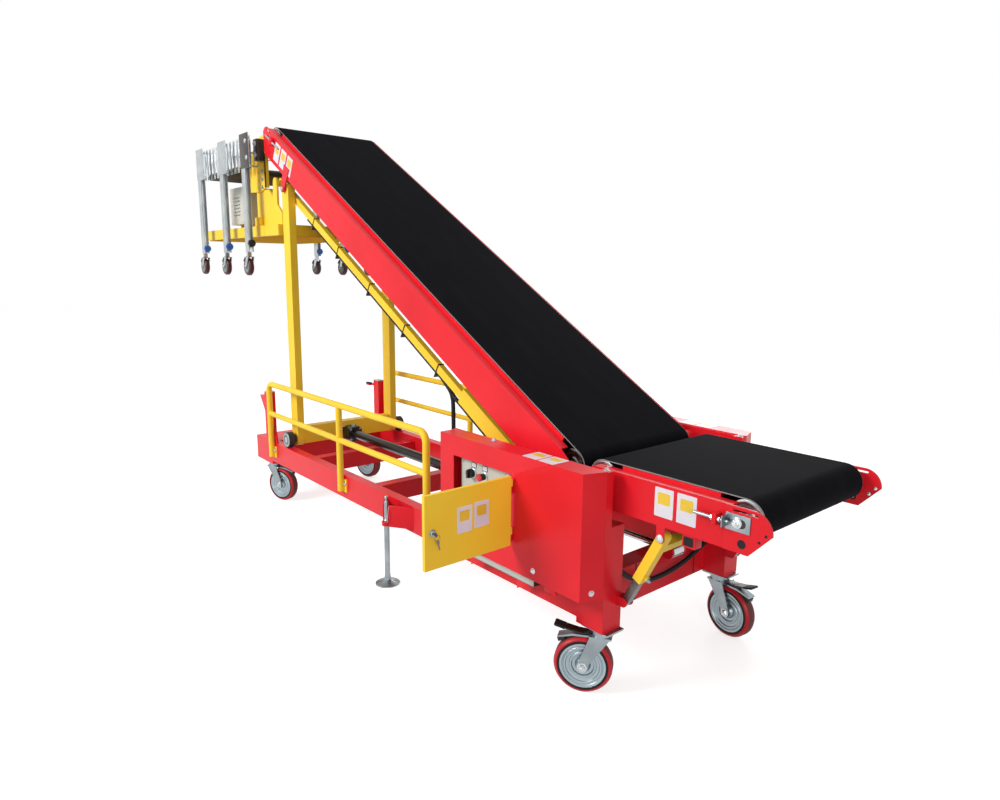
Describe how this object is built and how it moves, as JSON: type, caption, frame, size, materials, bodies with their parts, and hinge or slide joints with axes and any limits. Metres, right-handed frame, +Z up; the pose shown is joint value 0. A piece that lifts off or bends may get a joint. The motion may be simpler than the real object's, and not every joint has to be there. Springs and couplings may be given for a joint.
{
  "type": "portable belt conveyor",
  "caption": "Mobile belt conveyor on swivel casters, with a lifting belt boom on a leaning mast, a level head platform with a folded roller track, and a short tilting loading belt.",
  "frame": {"origin": "on the floor, midway across, under the front face of the front legs", "axes": "+X along the machine towards its loading end, +Y towards the side without the control cabinet, +Z up"},
  "size_m": [4.2401, 1.358, 2.174],
  "materials": {
    "red_paint": "satin",
    "yellow_paint": "satin",
    "belt_rubber": "matt",
    "bed_steel": "satin",
    "zinc": "bright",
    "rod_chrome": "polished",
    "black_paint": "gloss",
    "black_rubber": "matt",
    "black_plastic": "matt",
    "grey_plastic": "matt",
    "tyre_red": "satin",
    "rim_grey": "satin"
  },
  "bodies": {
    "chassis": {"chassis_frame": "red_paint", "cheek_plates": "red_paint", "link_lugs": "red_paint", "rest_stands": "red_paint", "rest_pads": "black_rubber", "side_cabinets": "red_paint", "control_box": "grey_plastic", "panel_switches": "black_plastic", "cabinet_tray": "grey_plastic", "guard_rails": "yellow_paint", "jack_brackets": "red_paint", "caster_plates": "zinc", "cylinder_rod": "rod_chrome", "brace_brackets": "red_paint"},
    "cabinet_door": {"cabinet_door": "yellow_paint"},
    "jack_near": {"jack_leg_near": "zinc"},
    "jack_far": {"jack_leg_far": "zinc"},
    "lift_cylinder": {"cylinder_barrel": "black_paint"},
    "foot_rollers": {"foot_rollers": "zinc"},
    "mast": {"mast_frame": "yellow_paint"},
    "boom": {"boom_plates": "red_paint", "boom_ears": "red_paint", "boom_bed": "bed_steel", "boom_belt": "belt_rubber", "boom_drums": "zinc", "boom_tensioners": "zinc"},
    "head_platform": {"head_brackets": "yellow_paint", "platform_frame": "yellow_paint", "platform_floor": "yellow_paint", "head_box": "grey_plastic", "track_lattice": "zinc", "track_rollers": "zinc", "track_legs": "zinc"},
    "levelling_links": {"link_bars": "yellow_paint", "link_hose": "black_rubber"},
    "loading_belt": {"infeed_plates": "red_paint", "infeed_bed": "bed_steel", "infeed_belt": "belt_rubber", "infeed_drums": "zinc", "infeed_tensioners": "zinc"},
    "brace_outer": {"brace_frame": "yellow_paint"},
    "brace_inner": {"brace_legs": "bed_steel"},
    "caster_front_near": {"caster_fork_front_near": "zinc"},
    "wheel_front_near": {"caster_tyre_front_near": "tyre_red", "caster_rim_front_near": "rim_grey"},
    "caster_front_far": {"caster_fork_front_far": "zinc"},
    "wheel_front_far": {"caster_tyre_front_far": "tyre_red", "caster_rim_front_far": "rim_grey"},
    "caster_rear_near": {"caster_fork_rear_near": "zinc"},
    "wheel_rear_near": {"caster_tyre_rear_near": "tyre_red", "caster_rim_rear_near": "rim_grey"},
    "caster_rear_far": {"caster_fork_rear_far": "zinc"},
    "wheel_rear_far": {"caster_tyre_rear_far": "tyre_red", "caster_rim_rear_far": "rim_grey"},
    "small_wheel_near_1": {"small_wheel_near_1": "black_rubber"},
    "small_wheel_far_1": {"small_wheel_far_1": "black_rubber"},
    "small_wheel_near_2": {"small_wheel_near_2": "black_rubber"},
    "small_wheel_far_2": {"small_wheel_far_2": "black_rubber"},
    "small_wheel_near_3": {"small_wheel_near_3": "black_rubber"},
    "small_wheel_far_3": {"small_wheel_far_3": "black_rubber"}
  },
  "joints": [
    {"name": "cabinet_door_hinge", "type": "hinge", "parent": "chassis", "child": "cabinet_door", "pos_m": [-0.352, -0.486, 0.5875], "axis": [0, 0, 1], "range_deg": [-90, 20]},
    {"name": "jack_near_screw", "type": "slide", "parent": "chassis", "child": "jack_near", "axis": [0, 0, 1], "range_m": [0, 0.1]},
    {"name": "jack_far_screw", "type": "slide", "parent": "chassis", "child": "jack_far", "axis": [0, 0, 1], "range_m": [0, 0.1]},
    {"name": "boom_lift", "type": "slide", "parent": "chassis", "child": "lift_cylinder", "axis": [1, 0, 0], "range_m": [0, 1.13952]},
    {"name": "foot_roller_spin", "type": "hinge", "parent": "lift_cylinder", "child": "foot_rollers", "pos_m": [-2.43, 0, 0.425], "axis": [0, 1, 0], "continuous": true},
    {"name": "mast_foot", "type": "hinge", "parent": "lift_cylinder", "child": "mast", "pos_m": [-2.43, 0, 0.425], "axis": [0, 1, 0], "range_deg": [-83.01, 0]},
    {"name": "mast_head", "type": "hinge", "parent": "mast", "child": "boom", "pos_m": [-2.43, 0, 1.825], "axis": [0, 1, 0], "range_deg": [0, 53.21]},
    {"name": "platform_level", "type": "hinge", "parent": "boom", "child": "head_platform", "pos_m": [-2.58912, 0, 2.11029], "axis": [0, 1, 0], "range_deg": [0, 29.81]},
    {"name": "link_head", "type": "hinge", "parent": "head_platform", "child": "levelling_links", "pos_m": [-2.58912, 0, 1.87529], "axis": [0, 1, 0], "range_deg": [-29.81, 0]},
    {"name": "loading_belt_tilt", "type": "hinge", "parent": "chassis", "child": "loading_belt", "pos_m": [-0.1, 0, 0.73], "axis": [0, 1, 0], "range_deg": [-8, 15]},
    {"name": "brace_head", "type": "hinge", "parent": "loading_belt", "child": "brace_outer", "pos_m": [0.164, 0, 0.606], "axis": [0, 1, 0], "range_deg": [-16, 9]},
    {"name": "brace_slide", "type": "slide", "parent": "brace_outer", "child": "brace_inner", "axis": [-0.4567, 0, -0.8896], "range_m": [-0.078, 0.042]},
    {"name": "caster_front_near_swivel", "type": "hinge", "parent": "chassis", "child": "caster_front_near", "pos_m": [-0.04, -0.346, 0.234], "axis": [0, 0, 1], "continuous": true},
    {"name": "wheel_front_near_spin", "type": "hinge", "parent": "caster_front_near", "child": "wheel_front_near", "pos_m": [-0.08915, -0.38042, 0.1], "axis": [0.5736, -0.8192, 0], "continuous": true},
    {"name": "caster_front_far_swivel", "type": "hinge", "parent": "chassis", "child": "caster_front_far", "pos_m": [-0.04, 0.346, 0.234], "axis": [0, 0, 1], "continuous": true},
    {"name": "wheel_front_far_spin", "type": "hinge", "parent": "caster_front_far", "child": "wheel_front_far", "pos_m": [0.01967, 0.33973, 0.1], "axis": [0.1045, 0.9945, 0], "continuous": true},
    {"name": "caster_rear_near_swivel", "type": "hinge", "parent": "chassis", "child": "caster_rear_near", "pos_m": [-2.7, -0.346, 0.234], "axis": [0, 0, 1], "continuous": true},
    {"name": "wheel_rear_near_spin", "type": "hinge", "parent": "caster_rear_near", "child": "wheel_rear_near", "pos_m": [-2.64437, -0.32352, 0.1], "axis": [-0.3746, 0.9272, 0], "continuous": true},
    {"name": "caster_rear_far_swivel", "type": "hinge", "parent": "chassis", "child": "caster_rear_far", "pos_m": [-2.7, 0.346, 0.234], "axis": [0, 0, 1], "continuous": true},
    {"name": "wheel_rear_far_spin", "type": "hinge", "parent": "caster_rear_far", "child": "wheel_rear_far", "pos_m": [-2.75796, 0.33047, 0.1], "axis": [0.2588, -0.9659, 0], "continuous": true},
    {"name": "small_wheel_near_1_spin", "type": "hinge", "parent": "head_platform", "child": "small_wheel_near_1", "pos_m": [-2.81412, -0.402, 1.4045], "axis": [0, 1, 0], "continuous": true},
    {"name": "small_wheel_far_1_spin", "type": "hinge", "parent": "head_platform", "child": "small_wheel_far_1", "pos_m": [-2.81412, 0.402, 1.4045], "axis": [0, 1, 0], "continuous": true},
    {"name": "small_wheel_near_2_spin", "type": "hinge", "parent": "head_platform", "child": "small_wheel_near_2", "pos_m": [-3.17412, -0.402, 1.4045], "axis": [0, 1, 0], "continuous": true},
    {"name": "small_wheel_far_2_spin", "type": "hinge", "parent": "head_platform", "child": "small_wheel_far_2", "pos_m": [-3.17412, 0.402, 1.4045], "axis": [0, 1, 0], "continuous": true},
    {"name": "small_wheel_near_3_spin", "type": "hinge", "parent": "head_platform", "child": "small_wheel_near_3", "pos_m": [-3.57912, -0.402, 1.4045], "axis": [0, 1, 0], "continuous": true},
    {"name": "small_wheel_far_3_spin", "type": "hinge", "parent": "head_platform", "child": "small_wheel_far_3", "pos_m": [-3.57912, 0.402, 1.4045], "axis": [0, 1, 0], "continuous": true}
  ],
  "couplings": [
    {"joint": "mast_foot", "follows": "boom_lift", "rad_per_m": -1.2712},
    {"joint": "mast_head", "follows": "boom_lift", "rad_per_m": 0.81478},
    {"joint": "platform_level", "follows": "boom_lift", "rad_per_m": 0.45643},
    {"joint": "link_head", "follows": "boom_lift", "rad_per_m": -0.45643},
    {"joint": "brace_head", "follows": "loading_belt_tilt", "ratio": -1.0609},
    {"joint": "brace_slide", "follows": "loading_belt_tilt", "m_per_rad": -0.29022}
  ]
}
